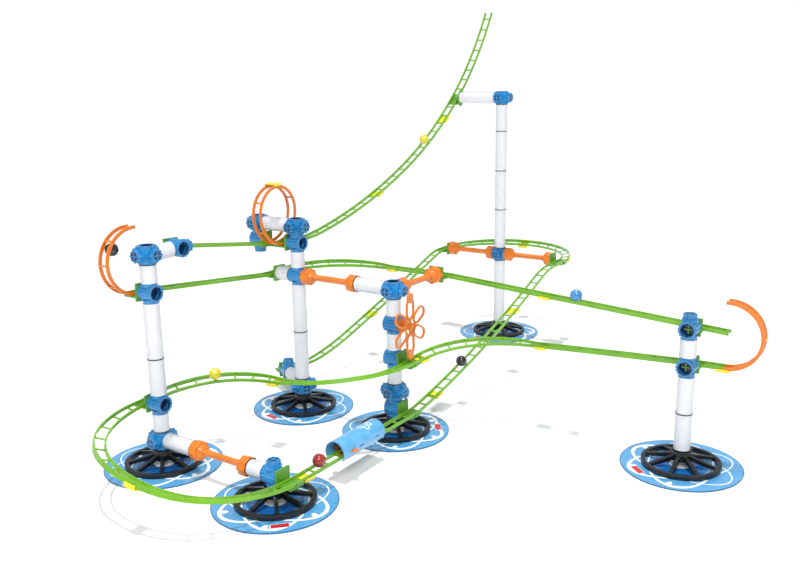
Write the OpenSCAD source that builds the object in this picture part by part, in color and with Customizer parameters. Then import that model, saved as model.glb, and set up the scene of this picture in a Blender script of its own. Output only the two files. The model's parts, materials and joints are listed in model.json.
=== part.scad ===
// Marble run: six plug-together towers carry a long ladder track with a full loop, two half loops,
// a tunnel and a pinwheel. X runs along the lanes, Y across them and Z up.
// The origin is on the floor, under the middle of the whole run.

/* [Tower modules] */
// Height of one tower module
unit = 23.2; // [23:0.1:23.4]
// Height of the mouth of a base wheel's socket
base_h = 21.4; // [21:0.1:22]
// Thickness of the flange between two stacked pieces
flange_t = 1.2; // [1:0.1:1.4]
// Outside diameter of the tubes
tube_d = 20; // [19.4:0.1:20.4]
// Bore of the tubes and sockets
socket_d = 16.6; // [16.5:0.05:16.7]
// Depth of a blind socket
socket_depth = 9; // [8:0.1:9]
// Diameter of the star plugs over their points
plug_d = 16.4; // [16:0.1:16.4]
// Length of a star plug beyond its flange
plug_len = 6.4; // [5:0.1:6.8]
// Diameter of a hub drum over its ribs
drum_d = 22; // [21.6:0.1:22.2]

/* [Bases] */
// Radius of a base disc
disc_r = 72; // [60:1:72]
// Thickness of a base disc
disc_t = 1.2; // [0.8:0.1:1.6]
// Radius of a base wheel
wheel_r = 47; // [44:1:50]
// Number of spokes in a base wheel
spokes = 8; // [6:1:10]

/* [Track] */
// Distance between the middles of the two rails
gauge = 13; // [13:0.1:13.2]
// Thickness of a rail
rail_t = 2; // [1.8:0.1:2]
// Height of a rail
rail_h = 4; // [4:0.1:4.4]
// Distance between two rungs
rung_pitch = 24; // [20:1:30]
// Width of a rung
rung_t = 2.2; // [1.8:0.1:2.6]
// Radius of the loops at the middle of the rails
loop_r = 40; // [39:0.5:40]
// Banking of the tracks in the middle of a bend
bank = 24; // [0:1:28]
// Depth of the skirt below the outer rail in the middle of a bend
skirt = 1.8; // [0:0.1:3]

/* [Marbles and pinwheel] */
// Diameter of a marble
marble_d = 16; // [15.6:0.1:16]
// Radius of the pinwheel over its paddles
pinwheel_r = 45; // [42:0.5:45]
// Radial clearance of the pinwheel on its pin
pin_clearance = 0.06; // [0.03:0.01:0.1]

/* [Hidden] */
$fn = 48;
flange_h = flange_t / 2;
drum_r = drum_d / 2;
flange_r = 9.4;
web_t = unit - flange_t - 2 * socket_depth;
plug_reach = unit / 2 + flange_h + plug_len;
// A bracket carries the track this far beyond the end of its socket, and this far below its axis
bracket_reach = 14.4;
track_drop = 3;
// Gap between the underside of a rail and the shelf or clip below it
seat_gap = 0.15;
shelf_t = 2;
plate_w = 22;
plate_t = 2.8;
plate_gap = 0.02;
// A rung lies between these heights, measured from the middle of the rail
rung_low = -1.7;
rung_high = -0.4;
// Gap between two track pieces that meet
joint_gap = 0.2;
bend_r = 120;
loop_drift = 17.6;
loop_offset = 4.5;
marble_r = marble_d / 2;
marble_lift = rail_h / 2 + sqrt(pow(marble_r, 2) - pow((gauge - rail_t) / 2, 2)) + 0.05;

// Places of the six towers, in modules along and across the lanes
tower_at = unit * [[0, 0], [0, -8], [10.4, -0.86], [10.4, -7.86], [31.4, -3.4], [14.6, -23.1]];
// Middle of the run in plan
run_middle = [361.77, -270.56];

function level(k) = base_h + k * unit;
function out(p, heading, d) = [p.x + d * cos(heading), p.y + d * sin(heading)];
function heading_of(a, b) = atan2(b.y - a.y, b.x - a.x);
function track_z(k) = level(k) - track_drop;

// ---- Lines: tracks that are straight in plan and flexed in side view --------------------------
// A line is [start, heading, height, knots]. A knot is [distance, slope angle], and an arc joins
// each knot to the next.

function arc_rise(d, a0, a1) =
    abs(a1 - a0) < 0.001 ? d * tan(a0) : d * (cos(a0) - cos(a1)) / (sin(a1) - sin(a0));
function knot_slope(k, s, i = 0) =
    i >= len(k) - 2 || s <= k[i + 1][0]
    ? asin(sin(k[i][1]) + (sin(k[i + 1][1]) - sin(k[i][1])) * (s - k[i][0]) / (k[i + 1][0] - k[i][0]))
    : knot_slope(k, s, i + 1);
function knot_rise(k, s, i = 0) =
    i >= len(k) - 2 || s <= k[i + 1][0]
    ? arc_rise(s - k[i][0], k[i][1], knot_slope(k, s, i))
    : arc_rise(k[i + 1][0] - k[i][0], k[i][1], k[i + 1][1]) + knot_rise(k, s, i + 1);
function line_z(line, s) = line[2] + knot_rise(line[3], s);
function line_slope(line, s) = knot_slope(line[3], s);

// Points where brackets hold the tracks
upper_start = out(tower_at[0], 90, unit / 2 + bracket_reach);
upper_end = out(tower_at[2], 90, 1.5 * unit + bracket_reach);
corner_arm = out(tower_at[3], 0, 4.5 * unit + bracket_reach);
far_heading = 1.3;
far_point = out(tower_at[5], far_heading, unit / 2 + bracket_reach);
return_point = out(tower_at[3], -90, unit / 2 + bracket_reach);
low_point = out(tower_at[1], -90, unit / 2 + bracket_reach);
climb_end = out(tower_at[4], -90, 4.5 * unit + bracket_reach);
descent_start = out(tower_at[4], 90, 4.5 * unit + bracket_reach);
loop_point = out(tower_at[2], 90, unit / 2 + bracket_reach);
exit_tower = out(tower_at[0], 0, 2 * unit);
exit_point = out(exit_tower, 90, unit / 2 + bracket_reach);
top_arm_heading = 91.25;
top_point = out(tower_at[4], top_arm_heading, 3.5 * unit + bracket_reach);
end_arm_heading = 58.7;
end_hub = out(tower_at[2], end_arm_heading, 3 * unit);
loop_hub = out(tower_at[2], 90, 3 * unit);
loop_exit_point = out(loop_hub, -90, unit / 2 + bracket_reach);

// Start track, from its tip above the tallest tower to the loop
tip_length = 131;
top_slope = -40.5;
start_heading = heading_of(top_point, loop_point);
start_knots = [[0, -59.5], [tip_length, top_slope], [293, -25], [531, -11], [581, 0], [628, 0]];
start_tip = out(top_point, start_heading, -tip_length);
start_z = level(17.5) - track_drop * cos(top_slope) - knot_rise(start_knots, tip_length);
start_line = [start_tip, start_heading, start_z, start_knots];
start_length = tip_length + norm(loop_point - top_point) + loop_offset;

// Track from the loop to the hub above the first tower
exit_start = [loop_point.x - loop_offset, loop_exit_point.y];
exit_run = norm(exit_point - exit_start);
exit_knots = [[0, 0], [20, 8.1], [exit_run - 34, 8.1], [exit_run - 13, 2], [exit_run + 9, 2]];
exit_line = [exit_start, heading_of(exit_start, exit_point), track_z(9.5), exit_knots];

// Upper straight, from the left half loop to the upper bend
upper_heading = heading_of(upper_start, upper_end);
upper_run_length = norm(upper_end - upper_start);
upper_knots = [[0, -2.5], [12, -2.5], [30, -5.95], [upper_run_length - 20, -5.95], [upper_run_length, 0]];
upper_line = [upper_start, upper_heading, track_z(8.5), upper_knots];

// Upper run, from the upper bend past the corner rod to the far tower
bend_end = upper_end + [bend_r, -bend_r];
link_line = [bend_end, heading_of(bend_end, corner_arm), track_z(7.5), [[0, 0], [200, 0]]];
link_length = norm(corner_arm - bend_end);
run_line = [corner_arm, heading_of(corner_arm, far_point), track_z(7.5), [[0, 0], [20, -3.86], [410, -3.86]]];
run_length = norm(far_point - corner_arm) + 40;
run_joint = 160;

// Return run, from the right half loop back towards the fourth tower
return_bend_start = return_point + [bend_r, -bend_r];
return_heading = heading_of(far_point, return_bend_start);
return_lead = 36;
return_length = return_lead + norm(return_bend_start - far_point);
return_knots = [[0, 0], [return_lead, -2.4], [return_length, -3.2]];
return_line = [out(far_point, return_heading, -return_lead), return_heading,
               track_z(4.5) - knot_rise(return_knots, return_lead), return_knots];
return_end_z = line_z(return_line, return_length);

// Tunnel track and climb
tunnel_line = [low_point, heading_of(low_point, return_point), track_z(0.5), [[0, 0], [300, 0]]];
tunnel_run = norm(return_point - low_point);
climb_length = norm(climb_end - return_point);
climb_knots = [[0, 0], [20, 10], [255, 17], [400, 20.2], [450, 0], [climb_length, 0]];
climb_line = [return_point, heading_of(return_point, climb_end), track_z(0.5), climb_knots];
climb_joint = 60;

// Descent to the end hub
descent_end = [352, 44.2];
descent_length = norm(descent_end - descent_start);
descent_knots = [[0, 0], [11, -1.5], [24, -10], [38, -19.6], [300, -17.6], [descent_length, -9]];
descent_line = [descent_start, heading_of(descent_start, descent_end), track_z(5.5), descent_knots];
descent_joint = 234;
descent_end_z = line_z(descent_line, descent_length);

// ---- Bends: curved in plan, sloping evenly and banked ---------------------------------------------
// A bend is [centre, radii, [first angle, last angle], [first height, last height],
// [first slope, last slope], [bank at the start, middle and end], bulge].

function bend_length(b) = abs(b[2][1] - b[2][0]) * (b[1].x + b[1].y) / 2 * PI / 180;
function bend_turn(b) = sign(b[2][1] - b[2][0]);
function bend_bank(b, t) =
    b[5][0] * (1 - t) * (1 - 2 * t) + b[5][1] * 4 * t * (1 - t) + b[5][2] * t * (2 * t - 1);
// Height along a bend, as a cubic that keeps the slope at both ends
function bend_z(b, t) =
    let (l = bend_length(b))
    (2 * pow(t, 3) - 3 * pow(t, 2) + 1) * b[3][0] + (pow(t, 3) - 2 * pow(t, 2) + t) * l * tan(b[4][0])
    + (3 * pow(t, 2) - 2 * pow(t, 3)) * b[3][1] + (pow(t, 3) - pow(t, 2)) * l * tan(b[4][1]);
function bend_point(b, t) =
    let (a = b[2][0] + (b[2][1] - b[2][0]) * t, k = 1 + b[6] * pow(sin(180 * t), 2))
    [b[0].x + k * b[1].x * cos(a), b[0].y + k * b[1].y * sin(a), bend_z(b, t)];
// One station is [x, y, z, heading, slope, roll, left skirt, right skirt]. Banking lifts the outer rail
// and not the inner one, and the skirt hangs below the outer rail.
function bend_at(b, t) =
    let (p = bend_point(b, t),
         d = bend_point(b, t + 0.001) - bend_point(b, t - 0.001),
         tilt = bend_bank(b, t),
         drop = skirt * min(1, max(0, tilt - 10) / 12))
    [p.x, p.y, p.z + gauge / 2 * sin(tilt), atan2(d.y, d.x), atan2(d.z, norm([d.x, d.y])),
     -bend_turn(b) * tilt, bend_turn(b) < 0 ? drop : 0, bend_turn(b) > 0 ? drop : 0];

return_bend_path = [return_point + [0, -bend_r], [bend_r, bend_r], [0, 90],
                    [return_end_z, track_z(3.5)], [-3.2, -3.8], [0, bank, 0], 0.03];
s_middle_y = (return_point.y + upper_start.y) / 2;
s_radii = [return_point.x / 2, upper_start.y - s_middle_y];
s_middle_z = (track_z(3.5) + track_z(2.5)) / 2;
s_right_path = [[return_point.x, s_middle_y], s_radii, [-90, -180],
                [track_z(3.5), s_middle_z], [-3.8, -3.2], [0, bank, 0], 0];
s_left_path = [[0, s_middle_y], s_radii, [0, 90],
               [s_middle_z, track_z(2.5)], [-3.2, -4.6], [0, bank, 0], 0.05];
turn_r = (upper_start.y - low_point.y) / 2;
turn_middle = [0, (upper_start.y + low_point.y) / 2];
turn_radii = [turn_r + 5, turn_r];
turn_middle_z = 53;
turn_upper_path = [turn_middle, turn_radii, [90, 180],
                   [track_z(2.5), turn_middle_z], [-4.6, -8.5], [0, 0.8 * bank, bank], 0.04];
turn_lower_path = [turn_middle, turn_radii, [180, 270],
                   [turn_middle_z, track_z(0.5)], [-8.5, -2], [bank, 0.6 * bank, 0], 0.05];
u_turn_r = (descent_start.y - climb_end.y) / 2;
u_turn_middle = (descent_start + climb_end) / 2;
u_turn_entry_path = [u_turn_middle, [u_turn_r, u_turn_r], [-90, 0],
                     [track_z(5.5), track_z(5.5)], [0, 0], [0, 0.8 * bank, bank], 0];
u_turn_exit_path = [u_turn_middle, [u_turn_r, u_turn_r], [0, 90],
                    [track_z(5.5), track_z(5.5)], [0, 0], [bank, 0.8 * bank, 0], 0];
upper_bend_path = [upper_end + [0, -bend_r], [bend_r, bend_r], [90, 0],
                   [track_z(7.5), track_z(7.5)], [0, 0], [0, bank, 0], 0.03];
end_bend_middle = out(descent_end, descent_line[1] - 90, bend_r);
end_bend_path = [end_bend_middle, [bend_r, bend_r], [descent_line[1] - 270, -125],
                 [descent_end_z, track_z(0.5)], [-9, 0], [0, 0, 0], 0];
loop_middle = [loop_point.x - loop_offset, start_tip.y + start_length * sin(start_heading)];
function loop_at(t) = [loop_middle.x - loop_r * sin(360 * t), loop_middle.y + loop_drift * t,
                       track_z(9.5) + loop_r * (1 - cos(360 * t)), 180, 360 * t, 0, 0, 0];

// ---- Placing -------------------------------------------------------------------------------------

module in_run() {
    translate([-run_middle.x, -run_middle.y, 0]) children();
}

// Upright in a tower, with the child's origin at the given level
module upright(tower, k) {
    translate([tower_at[tower].x, tower_at[tower].y, level(k)]) children();
}

// Lying along a heading, with the child's +Z pointing outwards from start modules beyond the point
module lying(point, heading, start, k) {
    translate([point.x, point.y, level(k)]) rotate([0, 0, heading]) rotate([0, 90, 0])
        translate([0, 0, start * unit]) children();
}

// On a line at distance s, with X along the track and Z square to it
module on_line(line, s) {
    translate([line[0].x, line[0].y, 0]) rotate([0, 0, line[1]]) translate([s, 0, line_z(line, s)])
        rotate([0, -line_slope(line, s), 0]) children();
}

module on_station(p) {
    translate([p[0], p[1], p[2]]) rotate([0, 0, p[3]]) rotate([0, -p[4], 0]) rotate([p[5], 0, 0]) children();
}

// ---- Tower pieces --------------------------------------------------------------------------------

module star(r, points = 8, dip = 1.6) {
    polygon([for (i = [0:2 * points - 1])
        let (a = 180 * i / points, q = i % 2 == 0 ? r : r - dip) [q * cos(a), q * sin(a)]]);
}

module ribbed_outline(r, ribs = 16, depth = 0.7) {
    polygon([for (i = [0:ribs - 1], k = [[0.05, 0], [0.45, 0], [0.6, 1], [0.9, 1]])
        let (a = 360 * (i + k[0]) / ribs, q = r - depth * k[1]) [q * cos(a), q * sin(a)]]);
}

module lobed_outline(r, lobes = 8, depth = 0.7) {
    polygon([for (a = [0:7.5:352.5]) (r - depth + depth * cos(lobes * a)) * [cos(a), sin(a)]]);
}

module plug(root) {
    linear_extrude(plug_len + root) star(plug_d / 2);
}

module tube(n) {
    color("white") translate([0, 0, flange_h]) difference() {
        cylinder(d = tube_d, h = n * unit - flange_t);
        translate([0, 0, -1]) cylinder(d = socket_d, h = n * unit - flange_t + 2);
    }
}

module joint_ring() {
    color([0.1, 0.1, 0.1]) {
        cylinder(d = tube_d + 0.8, h = flange_t, center = true);
        for (side = [0, 180]) rotate([side, 0, 0]) translate([0, 0, flange_h - 0.3]) plug(0.3);
    }
}

// A drum along Z with a blind socket in each end
module drum_solid() {
    linear_extrude(unit - flange_t, center = true) ribbed_outline(drum_r);
}

module drum_sockets() {
    for (side = [0, 180]) rotate([side, 0, 0])
        translate([0, 0, web_t / 2]) cylinder(d = socket_d, h = socket_depth + 1);
}

// A star plug on its flange, standing out along Z from the middle of a hub
module hub_plug() {
    translate([0, 0, 8]) cylinder(r = flange_r, h = unit / 2 + flange_h - 8);
    translate([0, 0, plug_reach - plug_len - 1]) plug(1);
}

// Drum along the heading, plugs up and down
module tee_hub(heading) {
    color([0.1, 0.45, 0.85]) rotate([0, 0, heading]) difference() {
        union() {
            rotate([0, 90, 0]) drum_solid();
            hub_plug();
            mirror([0, 0, 1]) hub_plug();
        }
        rotate([0, 90, 0]) drum_sockets();
    }
}

// Drum along the heading, plugs level and square to it
module side_tee_hub(heading) {
    rotate([0, 0, heading]) rotate([90, 0, 0]) tee_hub(0);
}

// Upright drum with four level plugs
module cross_hub(heading) {
    color([0.1, 0.45, 0.85]) rotate([0, 0, heading]) difference() {
        union() {
            drum_solid();
            for (a = [0:90:270]) rotate([0, 0, a]) rotate([0, 90, 0]) hub_plug();
        }
        drum_sockets();
    }
}

module rod() {
    head_l = 12;
    neck_l = 6;
    color([0.95, 0.45, 0.08]) translate([0, 0, 2 * unit]) for (side = [0, 180]) rotate([side, 0, 0]) {
        difference() {
            translate([0, 0, 2 * unit - flange_h - head_l]) linear_extrude(head_l) lobed_outline(12);
            translate([0, 0, 2 * unit - flange_h - socket_depth]) cylinder(d = socket_d, h = socket_depth + 1);
        }
        translate([0, 0, 2 * unit - flange_h - head_l - neck_l + 0.5])
            cylinder(r1 = 5.2, r2 = 9.6, h = neck_l);
        linear_extrude(2 * unit - flange_h - head_l - 1) star(4.6, 6, 0.8);
    }
}

module base_disc(i) {
    color([0.35, 0.65, 0.92]) translate([tower_at[i].x, tower_at[i].y, 0]) cylinder(r = disc_r, h = disc_t);
}

module base_wheel(i) {
    rim_w = 5;
    rim_top = 7;
    hub_r = 12;
    hub_low = 8;
    spoke_w = 4.4;
    color([0.09, 0.09, 0.1]) translate([tower_at[i].x, tower_at[i].y, 0]) difference() {
        union() {
            rotate_extrude() translate([wheel_r - rim_w, disc_t]) square([rim_w, rim_top - disc_t]);
            translate([0, 0, hub_low]) cylinder(r = hub_r, h = base_h - flange_h - hub_low);
            for (k = [0:spokes - 1]) rotate([90, 0, 360 * k / spokes])
                linear_extrude(spoke_w, center = true)
                    polygon([[hub_r - 2, hub_low + 1], [hub_r - 2, 15], [wheel_r - 3, rim_top - 0.6], [wheel_r - 3, 2.4]]);
        }
        translate([0, 0, base_h - flange_h - socket_depth]) cylinder(d = socket_d, h = socket_depth + 1);
    }
}

// ---- Track pieces --------------------------------------------------------------------------------

// Side view of a rail between two distances along a line
module rail_side(line, s0, s1) {
    steps = ceil((s1 - s0) / 14);
    edge = function (i, up) let (s = s0 + (s1 - s0) * i / steps, a = line_slope(line, s))
        [s - up * sin(a), line_z(line, s) + up * cos(a)];
    polygon(concat([for (i = [0:steps]) edge(i, rail_h / 2)], [for (i = [steps:-1:0]) edge(i, -rail_h / 2)]));
}

// Distances of the rungs, a pitch apart along the slope
function rung_places(line, s, s1) =
    s > s1 ? [] : concat([s], rung_places(line, s + rung_pitch * cos(line_slope(line, s)), s1));

module ladder(line, s0, s1) {
    margin = 7;
    places = rung_places(line, s0 + margin, s1 - margin / 2);
    spare = (s1 - margin - places[len(places) - 1]) / 2;
    translate([line[0].x, line[0].y, 0]) rotate([0, 0, line[1]]) rotate([90, 0, 0]) {
        for (side = [-1, 1]) translate([0, 0, side * gauge / 2])
            linear_extrude(rail_t, center = true) rail_side(line, s0, s1);
        linear_extrude(gauge - rail_t / 2, center = true)
            for (p = places) let (s = p + spare)
                translate([s, line_z(line, s)]) rotate(line_slope(line, s))
                    translate([-rung_t / 2, rung_low]) square([rung_t, rung_high - rung_low]);
    }
}

// Closed skin of a ladder through stations. flags[i] is 1 where a rung fills the cell after station i.
module ladder_skin(stations, flags) {
    outer = (gauge + rail_t) / 2;
    inner = (gauge - rail_t) / 2;
    h = rail_h / 2;
    section = [[outer, -h], [outer, h], [inner, h], [inner, rung_high], [inner, rung_low], [inner, -h],
               [-inner, -h], [-inner, rung_low], [-inner, rung_high], [-inner, h], [-outer, h], [-outer, -h]];
    rails = [[0, 1], [1, 2], [2, 3], [4, 5], [5, 0], [6, 7], [8, 9], [9, 10], [10, 11], [11, 6]];
    open_walls = [[3, 4], [7, 8]];
    web = [[3, 8], [7, 4]];
    n = len(stations);
    points = [for (p = stations, q = section)
        let (v = q.y - (q.y == -h ? (q.x > 0 ? p[6] : p[7]) : 0),
             x = q.x * cos(p[5]) - v * sin(p[5]), y = q.x * sin(p[5]) + v * cos(p[5]))
        [p[0] - x * sin(p[3]) - y * sin(p[4]) * cos(p[3]),
         p[1] + x * cos(p[3]) - y * sin(p[4]) * sin(p[3]),
         p[2] + y * cos(p[4])]];
    strips = [for (i = [0:n - 2], e = concat(rails, flags[i] == 1 ? web : open_walls))
        let (a = 12 * i, b = 12 * (i + 1), quad = [a + e[0], b + e[0], b + e[1], a + e[1]])
        each [[quad[0], quad[1], quad[2]], [quad[0], quad[2], quad[3]]]];
    ends = [for (i = [1:n - 2]) let (a = 12 * i)
        if (flags[i] != flags[i - 1]) each flags[i] == 1
            ? [[a + 4, a + 3, a + 8], [a + 4, a + 8, a + 7]]
            : [[a + 7, a + 8, a + 3], [a + 7, a + 3, a + 4]]];
    last = 12 * (n - 1);
    caps = [[0, 1, 2, 3, 4, 5], [6, 7, 8, 9, 10, 11],
            [for (k = [5:-1:0]) last + k], [for (k = [11:-1:6]) last + k]];
    polyhedron(points, concat(strips, ends, caps));
}

// Ladder along at(t), t from t0 to t1, over a path of the given length
module swept_ladder(at, length, t0, t1, pitch, cuts) {
    part = length * (t1 - t0) - joint_gap;
    rungs = floor(part / pitch);
    first = (part - (rungs - 1) * pitch) / 2;
    window = function (i) [i == 0 ? 0 : first + (i - 1) * pitch + rung_t / 2,
                           i == rungs ? part : first + i * pitch - rung_t / 2];
    marks = [for (i = [0:rungs], j = [0:cuts])
        let (w = window(i)) [w[0] + (w[1] - w[0]) * j / cuts, j == cuts ? 1 : 0]];
    stations = [for (m = marks) at(t0 + (m[0] + joint_gap / 2) / length)];
    ladder_skin(stations, [for (m = marks) m[1]]);
}

module bend_track(path) {
    swept_ladder(function (t) bend_at(path, t), bend_length(path), 0, 1, rung_pitch, 2);
}

module loop_part(t0, t1) {
    swept_ladder(function (t) loop_at(t), 2 * PI * loop_r, t0, t1, 42, 5);
}

// Half loop about Y: it bulges towards +X and both ends run back towards -X
module half_loop(low_lead, high_lead) {
    for (side = [-1, 1]) translate([0, side * gauge / 2, 0]) {
        rotate([90, 0, 0]) rotate([0, 0, -90]) rotate_extrude(angle = 180)
            translate([loop_r - rail_h / 2, -rail_t / 2]) square([rail_h, rail_t]);
        translate([-low_lead, -rail_t / 2, -loop_r - rail_h / 2]) cube([low_lead + 0.5, rail_t, rail_h]);
        translate([-high_lead, -rail_t / 2, loop_r - rail_h / 2]) cube([high_lead + 0.5, rail_t, rail_h]);
    }
    for (a = [-84, -42, 0, 42, 84]) rotate([0, -a, 0])
        translate([loop_r - rung_high, -gauge / 2 + rail_t / 4, -rung_t / 2])
            cube([rung_high - rung_low, gauge - rail_t / 2, rung_t]);
}

// Bracket with its plug towards -X, its plate at the origin and its shelf under the track
module bracket() {
    shelf_top = -track_drop - rail_h / 2 - seat_gap;
    shelf_w = bracket_reach + (gauge + rail_t) / 2 + 0.6;
    color([0.25, 0.65, 0.15]) {
        translate([-flange_h - plug_len, 0, 0]) rotate([0, 90, 0]) plug(0.5);
        translate([-flange_h + plate_gap, -plate_w / 2, -plate_w / 2])
            cube([plate_t - plate_gap, plate_w, plate_w]);
        translate([0, -plate_w / 2, shelf_top - shelf_t]) cube([shelf_w, plate_w, shelf_t]);
        translate([shelf_w - 0.1, -2, shelf_top - shelf_t]) cube([1.2, 4, 3.6]);
    }
}

// Brackets: [point at the socket's mouth, module level, heading, tilt about the plug]
bracket_places = [
    [out(tower_at[0], 90, unit / 2), 8.5, 90, 2.5],
    [out(tower_at[2], 90, 1.5 * unit), 7.5, 90, 2],
    [out(tower_at[3], 0, 4.5 * unit), 7.5, 0, 0.5],
    [out(tower_at[5], far_heading, unit / 2), 6.5, far_heading, 3.9],
    [out(tower_at[5], far_heading, unit / 2), 4.5, far_heading, -2.4],
    [out(tower_at[3], -90, unit / 2), 3.5, -90, 3.8],
    [out(tower_at[3], -90, unit / 2), 0.5, -90, 2],
    [out(tower_at[4], -90, 4.5 * unit), 5.5, -90, 0],
    [out(tower_at[4], 90, 4.5 * unit), 5.5, 90, -0.5],
    [out(tower_at[4], top_arm_heading, 3.5 * unit), 17.5, top_arm_heading, top_slope],
    [out(tower_at[2], 90, unit / 2), 9.5, 90, 0],
    [out(loop_hub, -90, unit / 2), 9.5, -90, 0],
    [out(exit_tower, 90, unit / 2), 10.5, 90, 2],
    [out(tower_at[0], 90, unit / 2), 2.5, 90, -4.6],
    [out(tower_at[1], -90, unit / 2), 0.5, -90, -1],
    [out(end_hub, end_arm_heading, unit / 2), 0.5, end_arm_heading, -1]];

module track_brackets() {
    for (b = bracket_places) translate([b[0].x, b[0].y, level(b[1])]) rotate([0, 0, b[2]])
        rotate([b[3], 0, 0]) bracket();
}

// Clip under a joint, gripping the outside of both rails. Slack leaves room for a twisting track,
// and drop for a skirt.
module clip(slack = 0, drop = 0) {
    clip_l = 16;
    grip = (gauge + rail_t) / 2 + 0.4 + slack / 2;
    grip_t = 1.2;
    clip_top = -rail_h / 2 - seat_gap - slack - drop;
    color([0.95, 0.85, 0.1]) {
        translate([-clip_l / 2, -grip - grip_t, clip_top - shelf_t])
            cube([clip_l, 2 * (grip + grip_t), shelf_t]);
        for (side = [-1, 1]) translate([-clip_l / 2, side * (grip + grip_t / 2) - grip_t / 2, clip_top - 0.5])
            cube([clip_l, grip_t, 2.2 + drop]);
    }
}

module track_clips() {
    for (s = [172, 383]) on_line(start_line, s) clip();
    on_line(link_line, 10) clip();
    on_line(run_line, run_joint) clip();
    on_line(return_line, 0) clip();
    on_line(return_line, return_length - 10) clip();
    on_line(tunnel_line, 22) clip();
    on_line(climb_line, climb_joint) clip();
    on_line(climb_line, 300) clip();
    on_line(descent_line, descent_joint) clip();
    on_station(bend_at(return_bend_path, 0.88)) clip(0.6);
    on_station(bend_at(s_left_path, 0.06)) clip(0.8);
    on_station(bend_at(turn_lower_path, 0.07)) clip(0.6, skirt);
    on_station(bend_at(u_turn_entry_path, 0.13)) clip(0.6);
    on_station(bend_at(u_turn_exit_path, 0.06)) clip(0.6, skirt);
    on_station(loop_at(0.5)) rotate([0, 0, -4]) clip(0.2);
}

// ---- Nodes ---------------------------------------------------------------------------------------

module tower_1_tubes() {
    for (t = [[1, 1], [3, 2], [5, 3], [9, 1]]) upright(0, t[0]) tube(t[1]);
    for (t = [[0.5, 2], [6.5, 1]]) lying(tower_at[0], -90, t[0], 0.5) tube(t[1]);
    lying(tower_at[0], 0, 0.5, 10.5) tube(1);
}

module tower_3_tubes() {
    for (t = [[1, 3], [4, 3], [8, 1]]) upright(2, t[0]) tube(t[1]);
    lying(tower_at[2], 90, 0.5, 10.5) tube(2);
    lying(tower_at[2], 90, 0.5, 7.5) tube(1);
    lying(tower_at[2], end_arm_heading, 0.5, 0.5) tube(2);
    lying(tower_at[2], -90, 4.5, 7.5) tube(2);
}

module tower_4_tubes() {
    for (k = [2, 4, 6]) upright(3, k) tube(1);
}

module tower_5_tubes() {
    for (t = [[0, 3], [3, 2], [6, 3], [9, 3], [12, 3], [15, 2]]) upright(4, t[0]) tube(t[1]);
    lying(tower_at[4], top_arm_heading, 0.5, 17.5) tube(3);
}

module tower_6_tubes() {
    for (t = [[0, 2], [2, 2], [5, 1]]) upright(5, t[0]) tube(t[1]);
}

module tower_1_hubs() {
    for (k = [0.5, 10.5]) upright(0, k) cross_hub(0);
    for (k = [2.5, 8.5]) upright(0, k) tee_hub(90);
    translate([exit_tower.x, exit_tower.y, level(10.5)]) side_tee_hub(90);
}

module tower_2_hubs() {
    upright(1, 0.5) tee_hub(90);
}

module tower_3_hubs() {
    upright(2, 0.5) cross_hub(end_arm_heading);
    upright(2, 10.5) cross_hub(0);
    for (k = [7.5, 9.5]) upright(2, k) tee_hub(90);
    translate([loop_hub.x, loop_hub.y, level(10.5)]) cross_hub(0);
    translate([loop_hub.x, loop_hub.y, level(9.5)]) tee_hub(90);
    translate([end_hub.x, end_hub.y, level(0.5)]) tee_hub(end_arm_heading);
}

module tower_4_hubs() {
    for (k = [1.5, 7.5]) upright(3, k) cross_hub(0);
    for (k = [0.5, 3.5, 5.5]) upright(3, k) tee_hub(90);
}

module tower_5_hubs() {
    upright(4, 5.5) cross_hub(0);
    upright(4, 17.5) cross_hub(top_arm_heading);
}

module tower_6_hubs() {
    for (k = [4.5, 6.5]) upright(5, k) tee_hub(far_heading);
}

module joint_rings() {
    ring_levels = [[0, 1, 5, 10], [], [0, 1, 4], [2, 7], [0, 3, 5, 6, 9, 12, 15, 17], [0, 2]];
    for (i = [0:5], k = ring_levels[i]) upright(i, k) joint_ring();
    for (k = [2.5, 6.5, 7.5]) lying(tower_at[0], -90, k, 0.5) joint_ring();
    lying(tower_at[2], 90, 0.5, 7.5) joint_ring();
    for (k = [0.5, 4.5]) lying(tower_at[2], -90, k, 7.5) joint_ring();
    lying(tower_at[2], end_arm_heading, 2.5, 0.5) joint_ring();
}

module orange_rods() {
    lying(tower_at[0], -90, 2.5, 0.5) rod();
    lying(tower_at[2], -90, 0.5, 7.5) rod();
    lying(tower_at[3], 0, 0.5, 7.5) rod();
    for (heading = [-90, 90]) lying(tower_at[4], heading, 0.5, 5.5) rod();
}

module start_track(s0, s1) {
    color([0.45, 0.8, 0.15]) ladder(start_line, s0 + joint_gap / 2, s1 - joint_gap / 2);
}

module loop_rise() {
    color([0.95, 0.45, 0.08]) loop_part(0, 0.5);
}

module loop_fall() {
    color([0.95, 0.45, 0.08]) loop_part(0.5, 1);
}

module loop_exit_track() {
    color([0.45, 0.8, 0.15]) ladder(exit_line, joint_gap / 2, exit_run + 9);
}

module left_half_loop() {
    lead = 1.5;
    color([0.95, 0.45, 0.08])
        translate([upper_line[0].x - lead, upper_line[0].y, upper_line[2] + loop_r]) rotate([0, 0, 180])
            half_loop(lead - 3 * joint_gap, 3);
}

module right_half_loop() {
    lead = 2;
    middle = out(return_line[0], return_heading, -lead);
    color([0.95, 0.45, 0.08]) translate([middle.x, middle.y, return_line[2] + loop_r])
        rotate([0, 0, return_heading + 180]) half_loop(lead - joint_gap, 3);
}

module upper_straight() {
    color([0.45, 0.8, 0.15]) ladder(upper_line, joint_gap / 2, upper_run_length - joint_gap / 2);
}

module upper_run() {
    color([0.45, 0.8, 0.15]) {
        ladder(link_line, joint_gap / 2, link_length - joint_gap / 2);
        ladder(run_line, joint_gap / 2, run_joint - joint_gap / 2);
        ladder(run_line, run_joint + joint_gap / 2, run_length);
    }
}

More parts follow.
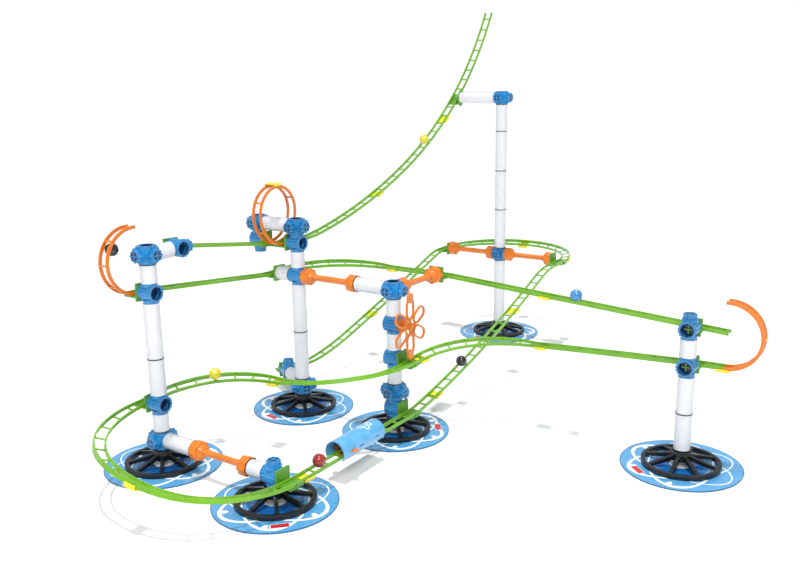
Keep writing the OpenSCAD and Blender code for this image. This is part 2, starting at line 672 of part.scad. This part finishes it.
module return_run() {
    color([0.45, 0.8, 0.15]) ladder(return_line, joint_gap / 2, return_length - joint_gap / 2);
}

module green_bend(path) {
    color([0.45, 0.8, 0.15]) bend_track(path);
}

module tunnel_track() {
    color([0.45, 0.8, 0.15]) ladder(tunnel_line, joint_gap / 2, tunnel_run - joint_gap / 2);
}

module climb_track() {
    color([0.45, 0.8, 0.15]) {
        ladder(climb_line, joint_gap / 2, climb_joint - joint_gap / 2);
        ladder(climb_line, climb_joint + joint_gap / 2, 300 - joint_gap / 2);
        ladder(climb_line, 300 + joint_gap / 2, climb_length - joint_gap / 2);
    }
}

module descent_track() {
    color([0.45, 0.8, 0.15]) {
        ladder(descent_line, joint_gap / 2, descent_joint - joint_gap / 2);
        ladder(descent_line, descent_joint + joint_gap / 2, descent_length - joint_gap / 2);
    }
}

tunnel_start = 77;
tunnel_l = 83;
tunnel_r = 14;
tunnel_axis = 6;
tab_at = 14;
tab_l = 9;

module tunnel() {
    cut_z = -rail_h / 2 - seat_gap;
    color([0.4, 0.72, 0.95]) on_line(tunnel_line, tunnel_start) difference() {
        translate([0, 0, tunnel_axis]) rotate([0, 90, 0]) cylinder(r = tunnel_r, h = tunnel_l);
        translate([-1, 0, tunnel_axis]) rotate([0, 90, 0]) cylinder(r = tunnel_r - 1, h = tunnel_l + 2);
        translate([-1, -tunnel_r - 1, cut_z - 20]) cube([tunnel_l + 2, 2 * tunnel_r + 2, 20]);
        for (x = [tab_at, tab_at + 16, tab_at + 48])
            translate([x - 0.2, -tunnel_r - 1, tunnel_axis - 0.7]) cube([tab_l + 0.4, 2 * tunnel_r + 2, 1.4]);
    }
}

// Cradle under the track, with arms inside the tunnel and tabs out through its slots
module tunnel_saddle() {
    saddle_t = 1.6;
    arm_t = 1.3;
    arm_y = 9.9;
    tab_reach = 19;
    low = -rail_h / 2 - seat_gap - saddle_t;
    color([0.95, 0.5, 0.1]) on_line(tunnel_line, tunnel_start + tab_at) {
        translate([0, -arm_y, low]) cube([tab_l, 2 * arm_y, saddle_t]);
        for (y = [-arm_y, arm_y - arm_t])
            translate([0, y, low]) cube([tab_l, arm_t, tunnel_axis + 0.6 - low]);
        for (y = [-tab_reach, arm_y - arm_t])
            translate([0, y, tunnel_axis - 0.6]) cube([tab_l, tab_reach - arm_y + arm_t, 1.2]);
    }
}

pin_r = 2;
pin_hub_l = 4.4;

module pinwheel_frame() {
    translate([tower_at[3].x, tower_at[3].y - unit / 2, level(5.5)]) rotate([0, 0, -90]) rotate([0, 90, 0]) children();
}

module pinwheel_pin() {
    cap_z = bracket_reach + pin_hub_l / 2 + 0.1;
    color([0.9, 0.4, 0.08]) pinwheel_frame() {
        translate([0, 0, -flange_h - plug_len]) plug(0.5);
        translate([0, 0, -flange_h]) cylinder(r = 9, h = 2);
        cylinder(r = pin_r, h = cap_z + 0.5);
        translate([0, 0, cap_z]) cylinder(r = 3.4, h = 1.2);
    }
}

module ring(r, t) {
    difference() {
        circle(r);
        circle(r - t);
    }
}

// Flat oval along X, its middle at the origin, with straight sides of the given length
module oval(r, straight) {
    for (x = [-straight / 2, straight / 2]) translate([x, 0]) circle(r);
    translate([-straight / 2, -r]) square([straight, 2 * r]);
}

module pinwheel() {
    petal_r = 8.5;
    petal_l = 10.5;
    petal_at = 23.5;
    paddle_r = 6;
    paddle_l = 2;
    wire = 2.2;
    inner_r = petal_at - petal_l / 2 - petal_r;
    color([0.98, 0.5, 0.12]) pinwheel_frame() translate([0, 0, bracket_reach]) {
        difference() {
            union() {
                cylinder(r = 5.5, h = pin_hub_l, center = true);
                linear_extrude(2.6, center = true) {
                    for (a = [0:60:300]) rotate(a) translate([petal_at, 0]) difference() {
                        oval(petal_r, petal_l);
                        oval(petal_r - wire, petal_l);
                    }
                    ring(inner_r + wire, wire);
                    for (a = [0, 180]) rotate(a) {
                        translate([pinwheel_r - paddle_r - paddle_l / 2, 0]) oval(paddle_r, paddle_l);
                        translate([5, -wire / 2]) square([6, wire]);
                    }
                }
            }
            cylinder(r = pin_r + pin_clearance, h = 10, center = true);
        }
    }
}

red_s = 48;
blue_s = 201;
high_s = tip_length + 102;
low_t = 0.5;
climb_s = 137;
loop_marble_angle = 148;

module marble(tone) {
    color(tone) translate([0, 0, marble_lift]) sphere(marble_r);
}

module black_marble_loop() {
    color([0.08, 0.08, 0.09])
        translate([upper_line[0].x - 1.5, upper_line[0].y, upper_line[2] + loop_r])
            rotate([0, -loop_marble_angle, 0]) translate([loop_r - marble_lift, 0, 0]) sphere(marble_r);
}

in_run() base_disc(0);  // base_disc_1
in_run() base_disc(1);  // base_disc_2
in_run() base_disc(2);  // base_disc_3
in_run() base_disc(3);  // base_disc_4
in_run() base_disc(4);  // base_disc_5
in_run() base_disc(5);  // base_disc_6
in_run() base_wheel(0);  // base_wheel_1
in_run() base_wheel(1);  // base_wheel_2
in_run() base_wheel(2);  // base_wheel_3
in_run() base_wheel(3);  // base_wheel_4
in_run() base_wheel(4);  // base_wheel_5
in_run() base_wheel(5);  // base_wheel_6
in_run() tower_1_tubes();
in_run() tower_3_tubes();
in_run() tower_4_tubes();
in_run() tower_5_tubes();
in_run() tower_6_tubes();
in_run() tower_1_hubs();
in_run() tower_2_hubs();
in_run() tower_3_hubs();
in_run() tower_4_hubs();
in_run() tower_5_hubs();
in_run() tower_6_hubs();
in_run() joint_rings();
in_run() track_brackets();
in_run() orange_rods();
in_run() track_clips();
in_run() start_track(0, 172);  // start_track_top
in_run() start_track(172, 383);  // start_track_middle
in_run() start_track(383, start_length);  // start_track_bottom
in_run() loop_rise();
in_run() loop_fall();
in_run() loop_exit_track();
in_run() left_half_loop();
in_run() right_half_loop();
in_run() upper_straight();
in_run() green_bend(upper_bend_path);  // upper_bend
in_run() upper_run();
in_run() return_run();
in_run() green_bend(return_bend_path);  // return_bend
in_run() green_bend(s_right_path);  // s_bend_right
in_run() green_bend(s_left_path);  // s_bend_left
in_run() green_bend(turn_upper_path);  // left_turn_upper
in_run() green_bend(turn_lower_path);  // left_turn_lower
in_run() tunnel_track();
in_run() climb_track();
in_run() green_bend(u_turn_entry_path);  // u_turn_entry
in_run() green_bend(u_turn_exit_path);  // u_turn_exit
in_run() descent_track();
in_run() green_bend(end_bend_path);  // end_bend
in_run() tunnel();
in_run() tunnel_saddle();
in_run() pinwheel();
in_run() pinwheel_pin();
in_run() on_line(tunnel_line, red_s) marble("red");  // red_marble
in_run() on_line(run_line, blue_s) marble([0.1, 0.4, 0.8]);  // blue_marble
in_run() on_line(start_line, high_s) marble("yellow");  // yellow_marble_high
in_run() on_station(bend_at(s_left_path, low_t)) marble("yellow");  // yellow_marble_low
in_run() black_marble_loop();
in_run() on_line(climb_line, climb_s) marble([0.08, 0.08, 0.09]);  // black_marble_climb
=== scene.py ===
import bpy
import bmesh
import json
from math import sin, cos, radians, pi
from mathutils import Matrix, Quaternion, Vector


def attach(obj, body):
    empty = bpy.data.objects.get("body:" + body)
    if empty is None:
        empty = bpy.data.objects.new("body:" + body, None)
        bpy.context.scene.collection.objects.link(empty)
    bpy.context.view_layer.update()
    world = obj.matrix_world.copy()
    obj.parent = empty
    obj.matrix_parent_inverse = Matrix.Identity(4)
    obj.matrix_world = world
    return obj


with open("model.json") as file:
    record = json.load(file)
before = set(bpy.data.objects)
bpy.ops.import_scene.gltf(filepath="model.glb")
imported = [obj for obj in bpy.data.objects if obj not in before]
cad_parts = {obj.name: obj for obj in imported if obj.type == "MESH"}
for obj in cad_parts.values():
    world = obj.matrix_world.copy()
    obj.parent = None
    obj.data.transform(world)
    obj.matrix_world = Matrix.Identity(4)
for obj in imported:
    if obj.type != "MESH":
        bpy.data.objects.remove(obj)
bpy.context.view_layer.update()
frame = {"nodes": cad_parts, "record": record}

nodes = frame["nodes"]
MM = 0.001
UNIT = 23.2
BASE_H = 21.4
DISC_R = 0.072
MIDDLE = Vector((361.77, -270.56, 0))
TOWERS = [Vector((x * UNIT, y * UNIT, 0)) for x, y in
          ((0, 0), (0, -8), (10.4, -0.86), (10.4, -7.86), (31.4, -3.4), (14.6, -23.1))]


def level(k):
    return BASE_H + k * UNIT


def out(p, heading, d):
    return Vector((p.x + d * cos(radians(heading)), p.y + d * sin(radians(heading)), 0))


def at(p, z):
    """A place in millimetres on the lanes, as metres in the row frame."""
    return Vector((p.x - MIDDLE.x, p.y - MIDDLE.y, z)) * MM


def lin(r, g, b):
    def one(v):
        v /= 255
        return v / 12.92 if v <= 0.04045 else ((v + 0.055) / 1.055) ** 2.4
    return (one(r), one(g), one(b), 1)


# ---- Materials ----------------------------------------------------------------------------------

class Tree:
    """A material's node tree, with short calls for the nodes used here."""

    def __init__(self, name):
        self.material = bpy.data.materials.new(name)
        self.material.use_nodes = True
        self.nt = self.material.node_tree
        self.nt.nodes.clear()
        self.coords = self.nt.nodes.new("ShaderNodeTexCoord").outputs["Object"]

    def add(self, kind, inputs=(), **settings):
        n = self.nt.nodes.new(kind)
        for k, v in settings.items():
            setattr(n, k, v)
        for k, v in dict(inputs).items():
            self.put(n.inputs[k], v)
        return n

    def put(self, socket, value):
        if isinstance(value, bpy.types.NodeSocket):
            self.nt.links.new(value, socket)
        else:
            socket.default_value = value

    def math(self, op, a, b=0.0, c=0.0):
        return self.add("ShaderNodeMath", {0: a, 1: b, 2: c}, operation=op).outputs[0]

    def noise(self, scale, detail=3.0, vector=None, stretch=None):
        v = vector or self.coords
        if stretch:
            v = self.add("ShaderNodeMapping", {"Vector": v, "Scale": stretch}).outputs[0]
        return self.add("ShaderNodeTexNoise", {"Vector": v, "Scale": scale, "Detail": detail}).outputs["Fac"]

    def range(self, value, low, high, start=0.3, end=0.7):
        n = self.add("ShaderNodeMapRange", {0: value, 1: start, 2: end, 3: low, 4: high})
        return n.outputs[0]

    def mix(self, fac, a, b):
        n = self.add("ShaderNodeMix", data_type="RGBA")
        self.put(n.inputs[0], fac)
        self.put(n.inputs[6], a)
        self.put(n.inputs[7], b)
        return n.outputs[2]

    def surface(self, shader):
        o = self.nt.nodes.new("ShaderNodeOutputMaterial")
        self.nt.links.new(shader, o.inputs["Surface"])
        return self.material

    def plastic(self, colour, rough, grain=0.08, coat=0.25, transmit=0.0):
        """Moulded plastic: faint flow marks, rub marks in the gloss and a fine mould grain."""
        rub = self.noise(45, 4)
        fine = self.noise(1400, 2)
        wave = self.noise(90, 2, stretch=(1, 1, 0.35))
        roughness = self.range(rub, rough * 0.75, rough * 1.45)
        height = self.math("ADD", self.math("MULTIPLY", fine, 0.35), wave)
        bump = self.add("ShaderNodeBump", {"Height": height, "Strength": grain, "Distance": 0.0006})
        return self.add("ShaderNodeBsdfPrincipled", {
            "Base Color": colour, "Roughness": roughness, "Normal": bump.outputs[0],
            "Coat Weight": coat, "Coat Roughness": 0.12, "Transmission Weight": transmit,
            "IOR": 1.47, "Subsurface Weight": 0.0}).outputs[0]


def shade(c, k):
    return tuple(min(1, v * k) for v in c[:3]) + (1,)


def moulded(name, colour, rough=0.28, vary=0.12, grain=0.1, coat=0.3):
    """Plastic whose tone drifts a little, and darkens in the grain."""
    t = Tree(name)
    flow = t.range(t.noise(28, 4), 0, 1)
    speck = t.range(t.noise(700, 2), 0, 1, 0.45, 0.75)
    tone = t.mix(flow, shade(colour, 1 - vary), shade(colour, 1 + vary))
    tone = t.mix(t.math("MULTIPLY", speck, 0.12), tone, shade(colour, 0.6))
    return t.surface(t.plastic(tone, rough, grain, coat))


def tube_material():
    """Milky clear plastic: pale face on, with painted shade that turns it greyer where the wall is seen along
    its surface.
    """
    t = Tree("clear tube")
    cloud = t.range(t.noise(70, 4), 0, 1)
    # Painted shade: the facing weight darkens the tube wall towards grey where it is seen at a grazing angle.
    edge = t.add("ShaderNodeLayerWeight", {"Blend": 0.25}).outputs["Facing"]
    tone = t.mix(t.math("MULTIPLY", cloud, 0.5), lin(252, 252, 254), lin(226, 228, 234))
    tone = t.mix(t.math("POWER", edge, 1.5), tone, lin(128, 132, 142))
    solid = t.plastic(tone, 0.1, 0.03, 0.6)
    clear = t.add("ShaderNodeBsdfTransparent", {"Color": (0.97, 0.97, 0.98, 1)}).outputs[0]
    see = t.math("ADD", 0.66, t.math("MULTIPLY", cloud, 0.16))
    return t.surface(t.add("ShaderNodeMixShader", {0: see, 1: clear, 2: solid}).outputs[0])


def marble_material(name, colour, deep):
    """Coloured glass ball with a darker swirl under a clear skin, and painted shade that darkens its rim."""
    t = Tree(name)
    swirl = t.range(t.noise(120, 5, stretch=(1, 0.5, 1.6)), 0, 1)
    # Painted shade: the ball darkens towards its rim, where it is seen edge-on.
    rim_shade = t.add("ShaderNodeLayerWeight", {"Blend": 0.35}).outputs["Facing"]
    tone = t.mix(swirl, colour, deep)
    tone = t.mix(t.math("MULTIPLY", rim_shade, 0.45), tone, shade(deep, 0.6))
    return t.surface(t.plastic(tone, 0.06, 0.01, 0.9, 0.12))


def disc_material(i, centre, turn, badge_turn):
    """Printed disc: a deep blue field, a white middle, white orbits with their dots and a plain red badge."""
    t = Tree("printed disc %d" % i)
    place = t.add("ShaderNodeMapping", {"Vector": t.coords, "Location": tuple(-centre / DISC_R),
                                       "Scale": (1 / DISC_R,) * 3}).outputs[0]
    place = t.add("ShaderNodeVectorRotate", {"Vector": place, "Angle": radians(turn)},
                  rotation_type="Z_AXIS").outputs[0]

    def flat(scale, angle=0.0, shift=(0, 0, 0)):
        v = t.add("ShaderNodeVectorRotate", {"Vector": place, "Angle": radians(angle)},
                  rotation_type="Z_AXIS").outputs[0]
        v = t.add("ShaderNodeVectorMath", {0: v, 1: shift}, operation="SUBTRACT").outputs[0]
        v = t.add("ShaderNodeVectorMath", {0: v, 1: (*scale, 0)}, operation="MULTIPLY").outputs[0]
        return t.add("ShaderNodeVectorMath", {0: v}, operation="LENGTH").outputs["Value"], v

    radius = flat((1, 1))[0]
    white = t.math("LESS_THAN", radius, 0.18)
    for angle in (8, 66, 128):
        length, v = flat((1 / 0.9, 1 / 0.52), angle)
        x = t.add("ShaderNodeSeparateXYZ", {0: v}).outputs[0]
        width = t.math("MULTIPLY_ADD", x, 0.012, 0.024)
        line = t.math("LESS_THAN", t.math("ABSOLUTE", t.math("SUBTRACT", length, 1.0)), width)
        white = t.math("MAXIMUM", white, line)
        dot = flat((1 / 0.07, 1 / 0.045), angle + 25, (0.78, 0.24, 0))[0]
        white = t.math("MAXIMUM", white, t.math("LESS_THAN", dot, 1.0))
    print_noise = t.range(t.noise(220, 3), 0, 1)
    light = t.mix(print_noise, lin(72, 144, 196), lin(88, 160, 208))
    deep = t.mix(print_noise, lin(14, 88, 158), lin(24, 102, 174))
    tone = t.mix(t.math("LESS_THAN", radius, 0.45), light, deep)
    tone = t.mix(white, tone, lin(246, 248, 250))
    edge = t.math("GREATER_THAN", radius, 0.985)
    tone = t.mix(edge, tone, lin(40, 100, 150))
    badge = t.add("ShaderNodeVectorRotate", {"Vector": place, "Angle": radians(badge_turn - turn)},
                  rotation_type="Z_AXIS").outputs[0]
    badge = t.add("ShaderNodeVectorMath", {0: badge, 1: (0.0, -0.8, 0)}, operation="SUBTRACT").outputs[0]
    parts = t.add("ShaderNodeSeparateXYZ", {0: badge})
    half_size = (0.155, 0.06)
    over = [t.math("DIVIDE", t.math("ABSOLUTE", parts.outputs[j]), half_size[j]) for j in (0, 1)]
    reach = t.math("MAXIMUM", *over)
    tone = t.mix(t.math("LESS_THAN", reach, 1.0), tone, lin(236, 214, 214))
    tone = t.mix(t.math("LESS_THAN", reach, 0.88), tone, lin(190, 24, 36))
    return t.surface(t.plastic(tone, 0.22, 0.04, 0.4))


def tunnel_material():
    """Light blue sheet with a faint white print of crossing orbits."""
    t = Tree("rolled sheet")
    tone = t.mix(t.range(t.noise(90, 3), 0, 1), lin(84, 158, 206), lin(98, 172, 220))
    parts = t.add("ShaderNodeSeparateXYZ", {0: t.add("ShaderNodeVectorMath", {
        0: t.coords, 1: TUNNEL_PRINT}, operation="SUBTRACT").outputs[0]})
    across, along = parts.outputs[1], parts.outputs[0]
    print_line = 0.0
    for angle in (20, 80, 140):
        a = radians(angle)
        u = t.math("ADD", t.math("MULTIPLY", along, cos(a)), t.math("MULTIPLY", across, sin(a)))
        v = t.math("SUBTRACT", t.math("MULTIPLY", across, cos(a)), t.math("MULTIPLY", along, sin(a)))
        reach = t.math("SQRT", t.math("ADD", t.math("POWER", t.math("DIVIDE", u, 0.0115), 2),
                                      t.math("POWER", t.math("DIVIDE", v, 0.0055), 2)))
        line = t.math("LESS_THAN", t.math("ABSOLUTE", t.math("SUBTRACT", reach, 1.0)), 0.09)
        print_line = t.math("MAXIMUM", print_line, line)
    tone = t.mix(t.math("MULTIPLY", print_line, 0.75), tone, lin(226, 240, 248))
    return t.surface(t.plastic(tone, 0.2, 0.05, 0.5))


TUNNEL_PRINT = at(Vector((136, -206, 0)), 0)
GREEN = moulded("track green", lin(112, 172, 30), 0.3, 0.12, 0.1, 0.2)
BRACKET = moulded("bracket green", lin(88, 150, 42), 0.3, 0.12, 0.1, 0.2)
ORANGE = moulded("orange", lin(224, 118, 22), 0.28, 0.12, 0.1, 0.2)
YELLOW = moulded("clip yellow", lin(232, 216, 52), 0.3, 0.1, 0.1, 0.2)
BLUE = moulded("hub blue", lin(36, 132, 192), 0.24, 0.2, 0.08, 0.35)
# Painted shade: this dark blue colours the socket collars, socket floors and plug wells, standing for the
# shade inside those hollows of the blue hubs.
SHADE_BLUE = moulded("painted shade blue", lin(8, 48, 92), 0.3, 0.14, 0.08, 0.2)
BLACK = moulded("wheel black", lin(10, 11, 14), 0.32, 0.2, 0.14, 0.12)
TUBE = tube_material()

PAINT = {"base_wheel": BLACK, "joint_rings": BLACK, "track_brackets": BRACKET, "track_clips": YELLOW,
         "orange_rods": ORANGE, "loop_rise": ORANGE, "loop_fall": ORANGE, "left_half": ORANGE,
         "right_half": ORANGE, "pinwheel": ORANGE, "tunnel_saddle": ORANGE,
         "tunnel_track": GREEN, "tunnel": tunnel_material(),
         "red_marble": marble_material("red glass", lin(190, 50, 36), lin(112, 16, 12)),
         "blue_marble": marble_material("blue glass", lin(90, 168, 224), lin(30, 112, 190)),
         "yellow_marble": marble_material("yellow glass", lin(246, 238, 60), lin(222, 200, 10)),
         "black_marble": marble_material("black glass", lin(34, 35, 40), lin(7, 7, 9))}


def paint_of(name):
    if name.endswith("_tubes"):
        return TUBE
    if name.endswith("_hubs"):
        return BLUE
    if name.startswith("base_disc"):
        i = int(name[-1])
        return disc_material(i, at(TOWERS[i - 1], 0), (20, 75, 130, 10, 50, 160)[i - 1],
                             (111, 43, 100, -40, 100, 132)[i - 1])
    for key, m in PAINT.items():
        if name.startswith(key) and not (key == "tunnel" and name == "tunnel_saddle"):
            return m
    return GREEN


ROUNDED = {"track_brackets": 0.5, "orange_rods": 0.5, "track_clips": 0.4, "tunnel_saddle": 0.3}
for name, obj in nodes.items():
    obj.data.materials.clear()
    obj.data.materials.append(paint_of(name))
    obj.data.shade_smooth()
    obj.data.set_sharp_from_angle(angle=radians(32))
    edge = ROUNDED.get(name)
    if name.startswith("base_wheel"):
        edge = 0.7
    if edge:
        weld = obj.modifiers.new("weld", "WELD")
        weld.merge_threshold = 1e-6
        bevel = obj.modifiers.new("round edges", "BEVEL")
        bevel.width = edge * MM
        bevel.segments = 2
        bevel.limit_method = "ANGLE"
        bevel.angle_limit = radians(50)
        bevel.harden_normals = True

# ---- Detail pieces --------------------------------------------------------------------------------


def piece(name, bm, material):
    """Turns a bmesh into a visible piece that rides on the fixed body."""
    mesh = bpy.data.meshes.new(name)
    bmesh.ops.recalc_face_normals(bm, faces=bm.faces)
    bm.to_mesh(mesh)
    bm.free()
    obj = bpy.data.objects.new(name, mesh)
    bpy.context.scene.collection.objects.link(obj)
    mesh.materials.append(material)
    mesh.shade_smooth()
    mesh.set_sharp_from_angle(angle=radians(35))
    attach(obj, "run")


def aim(centre, direction):
    """Matrix that puts +Z along direction, in metres."""
    return Matrix.Translation(centre) @ direction.to_track_quat("Z", "Y").to_matrix().to_4x4()


def prism(bm, outline, low, high, matrix, hole=None):
    """Extrudes a closed outline from low to high, in millimetres. hole has as many points as outline."""
    loops = []
    for z in (low, high):
        loops.append([bm.verts.new(matrix @ Vector((x * MM, y * MM, z * MM))) for x, y in outline])
    n = len(outline)
    for i in range(n):
        j = (i + 1) % n
        bm.faces.new((loops[0][i], loops[0][j], loops[1][j], loops[1][i]))
    if hole is None:
        bm.faces.new(loops[0][::-1])
        bm.faces.new(loops[1])
        return
    inner = []
    for z in (low, high):
        inner.append([bm.verts.new(matrix @ Vector((x * MM, y * MM, z * MM))) for x, y in hole])
    for i in range(n):
        j = (i + 1) % n
        bm.faces.new((inner[0][j], inner[0][i], inner[1][i], inner[1][j]))
        bm.faces.new((loops[0][j], loops[0][i], inner[0][i], inner[0][j]))
        bm.faces.new((loops[1][i], loops[1][j], inner[1][j], inner[1][i]))


def circle(r, n=64, lobes=0, depth=0.0):
    return [((r - depth + depth * cos(lobes * a)) * cos(a), (r - depth + depth * cos(lobes * a)) * sin(a))
            for a in (2 * pi * i / n for i in range(n))]


# Lobed collars inside the open sockets, with a dark floor; their dark blue is painted shade inside the socket
T1, T2, T3, T4, T5, T6 = TOWERS
MOUTH = 4.5      # from the middle of a socket to its mouth
PLUG_TIP = 18.6  # from the middle of a hub to the end of its plugs
FACE = UNIT / 2  # from the middle of a hub to the mouth of its sockets
FAR, TOP, END = 1.3, 91.25, 58.7  # headings of the arms that stand askew
arm, half = 5.4, 0.8
cross = [(half, half), (half, arm), (-half, arm), (-half, half), (-arm, half), (-arm, -half),
         (-half, -half), (-half, -arm), (half, -arm), (half, -half), (arm, -half), (arm, half)]
sockets = [(Vector(m["pos_m"]), Vector(m["axis"]), m["name"]) for m in frame["record"]["mounts"]
           if m["kind"] == "bore"]
back = out(T4, 90, FACE - 0.6 - MOUTH)
sockets += [(at(back, level(k)), Vector((0, 1, 0)), "tower_4_back") for k in (0.5, 3.5, 5.5)]
collars, shaded_floors, crosses = bmesh.new(), bmesh.new(), bmesh.new()
for centre, axis, name in sockets:
    place = aim(centre + axis * MOUTH * MM, axis)
    prism(collars, circle(8.35), -2.4, -0.5, place, circle(7.7, 64, 8, 0.75))
    prism(shaded_floors, circle(8.25), -8.9, -8.4, place)
    if name.startswith("tower_6"):
        prism(crosses, cross, -8.3, -6.5, place)
piece("socket_collars", collars, SHADE_BLUE)
piece("socket_floors", shaded_floors, SHADE_BLUE)
piece("socket_crosses", crosses, BRACKET)

# Crossed fins on the free plug ends, over dark blue discs that are painted shade in the hollow ends
free_plugs = [(T1, 0.5, a) for a in (0, 90, 180)] + [(T1, 10.5, a) for a in (90, 180, 270)]
free_plugs += [(out(T1, 0, 2 * UNIT), 10.5, 0), (T2, 0.5, "up")]
free_plugs += [(T3, 0.5, a) for a in (148.7, 238.7, 328.7)] + [(T3, 10.5, a) for a in (0, 180, 270)]
loop_hub = out(T3, 90, 3 * UNIT)
end_hub = out(T3, END, 3 * UNIT)
free_plugs += [(loop_hub, 10.5, a) for a in (0, 90, 180)] + [(loop_hub, 9.5, "down")]
free_plugs += [(end_hub, 0.5, "up"), (end_hub, 0.5, "down")]
free_plugs += [(T4, 1.5, a) for a in (0, 90, 180, 270)] + [(T4, 7.5, a) for a in (180, 270)]
free_plugs += [(T5, 5.5, a) for a in (0, 180)] + [(T5, 17.5, a) for a in (181.25, 271.25, 1.25)]
free_plugs += [(T6, 6.5, "up")]
shaded_wells, fins = bmesh.new(), bmesh.new()
for p, k, way in free_plugs:
    if way == "up":
        axis = Vector((0, 0, 1))
    elif way == "down":
        axis = Vector((0, 0, -1))
    else:
        axis = Vector((cos(radians(way)), sin(radians(way)), 0))
    place = aim(at(p, level(k)) + axis * PLUG_TIP * MM, axis)
    prism(shaded_wells, circle(5.6, 32), -0.3, 0.06, place)
    prism(fins, cross[::-1], 0, 0.45, place)
piece("plug_wells", shaded_wells, SHADE_BLUE)
piece("plug_fins", fins, BLUE)

# Short floors between the rails where a bracket holds the track
far = out(T6, FAR, FACE)
exit_hub = out(T1, 0, 2 * UNIT)
BRACKETS = [  # place of the socket's mouth, level, heading, tilt
    (out(T1, 90, FACE), 8.5, 90, 2.5), (out(T3, 90, 1.5 * UNIT), 7.5, 90, 2),
    (out(T4, 0, 4.5 * UNIT), 7.5, 0, 0.5), (far, 6.5, FAR, 3.9), (far, 4.5, FAR, -2.4),
    (out(T4, -90, FACE), 3.5, -90, 3.8), (out(T4, -90, FACE), 0.5, -90, 2),
    (out(T5, -90, 4.5 * UNIT), 5.5, -90, 0), (out(T5, 90, 4.5 * UNIT), 5.5, 90, -0.5),
    (out(T5, TOP, 3.5 * UNIT), 17.5, TOP, -40.5), (out(T3, 90, FACE), 9.5, 90, 0),
    (out(loop_hub, -90, FACE), 9.5, -90, 0), (exit_hub + Vector((0, FACE, 0)), 10.5, 90, 2),
    (out(T1, 90, FACE), 2.5, 90, -4.6), (out(T2, -90, FACE), 0.5, -90, -1),
    (out(end_hub, END, FACE), 0.5, END, -1)]
seats = bmesh.new()
for p, k, heading, tilt in BRACKETS:
    place = Matrix.Translation(at(p, level(k))) @ Matrix.Rotation(radians(heading), 4, "Z")
    place = place @ Matrix.Rotation(radians(tilt), 4, "X") @ Matrix.Translation(Vector((14.4, 0, -3)) * MM)
    prism(seats, [(-5.6, -13), (5.6, -13), (5.6, 13), (-5.6, 13)], -1.9, -0.35, place)
piece("track_seats", seats, BRACKET)

# ---- Floor, light and camera ----------------------------------------------------------------------

bpy.context.scene.view_settings.view_transform = "Standard"
bm = bmesh.new()
bmesh.ops.create_grid(bm, x_segments=1, y_segments=1, size=30)
mesh = bpy.data.meshes.new("floor")
bm.to_mesh(mesh)
bm.free()
floor = bpy.data.objects.new("floor", mesh)
floor.location.z = -0.0003
bpy.context.scene.collection.objects.link(floor)
t = Tree("pale floor")
tone = t.mix(t.range(t.noise(6, 3), 0, 1), (0.86, 0.86, 0.865, 1), (0.88, 0.88, 0.88, 1))
mesh.materials.append(t.surface(t.add("ShaderNodeBsdfPrincipled", {
    "Base Color": tone, "Roughness": 0.75, "Specular IOR Level": 0.1}).outputs[0]))

bm = bmesh.new()
bmesh.ops.create_uvsphere(bm, u_segments=32, v_segments=16, radius=28)
mesh = bpy.data.meshes.new("backdrop")
bm.to_mesh(mesh)
bm.free()
dome = bpy.data.objects.new("backdrop", mesh)
bpy.context.scene.collection.objects.link(dome)
t = Tree("backdrop white")
glow = t.add("ShaderNodeEmission", {"Color": (1, 1, 1, 1), "Strength": 1.02})
mesh.materials.append(t.surface(glow.outputs[0]))
for ray in ("diffuse", "glossy", "transmission", "shadow", "volume_scatter"):
    setattr(dome, "visible_" + ray, False)

world = bpy.data.worlds.new("studio")
bpy.context.scene.world = world
world.use_nodes = True
world.node_tree.nodes["Background"].inputs["Color"].default_value = (0.93, 0.96, 1.0, 1)
world.node_tree.nodes["Background"].inputs["Strength"].default_value = 0.6


def light(name, kind, energy, place, target, size):
    data = bpy.data.lights.new(name, kind)
    data.energy = energy
    if kind == "SUN":
        data.angle = radians(size)
    else:
        data.shape = "DISK"
        data.size = size
    obj = bpy.data.objects.new(name, data)
    obj.location = place
    obj.rotation_mode = "QUATERNION"
    obj.rotation_quaternion = (Vector(target) - Vector(place)).to_track_quat("-Z", "Y")
    bpy.context.scene.collection.objects.link(obj)


light("overhead", "SUN", 2.2, (0.05, 0.1, 3), (0, 0, 0), 4)
light("key", "AREA", 32, (-1.6, -1.0, 1.9), (0, 0, 0.2), 0.9)

camera = bpy.data.cameras.new("camera")
camera.sensor_width = 36
camera.lens = 38.78
camera.clip_end = 100
eye = bpy.data.objects.new("camera", camera)
eye.location = at(Vector((-647.5, -808.6, 0)), 458.4)
heading, pitch = radians(34.7), radians(-13.42)
look = Vector((cos(heading) * cos(pitch), sin(heading) * cos(pitch), sin(pitch)))
eye.rotation_mode = "QUATERNION"
eye.rotation_quaternion = look.to_track_quat("-Z", "Y") @ Quaternion((0, 0, 1), radians(-0.853))
bpy.context.scene.collection.objects.link(eye)
bpy.context.scene.camera = eye
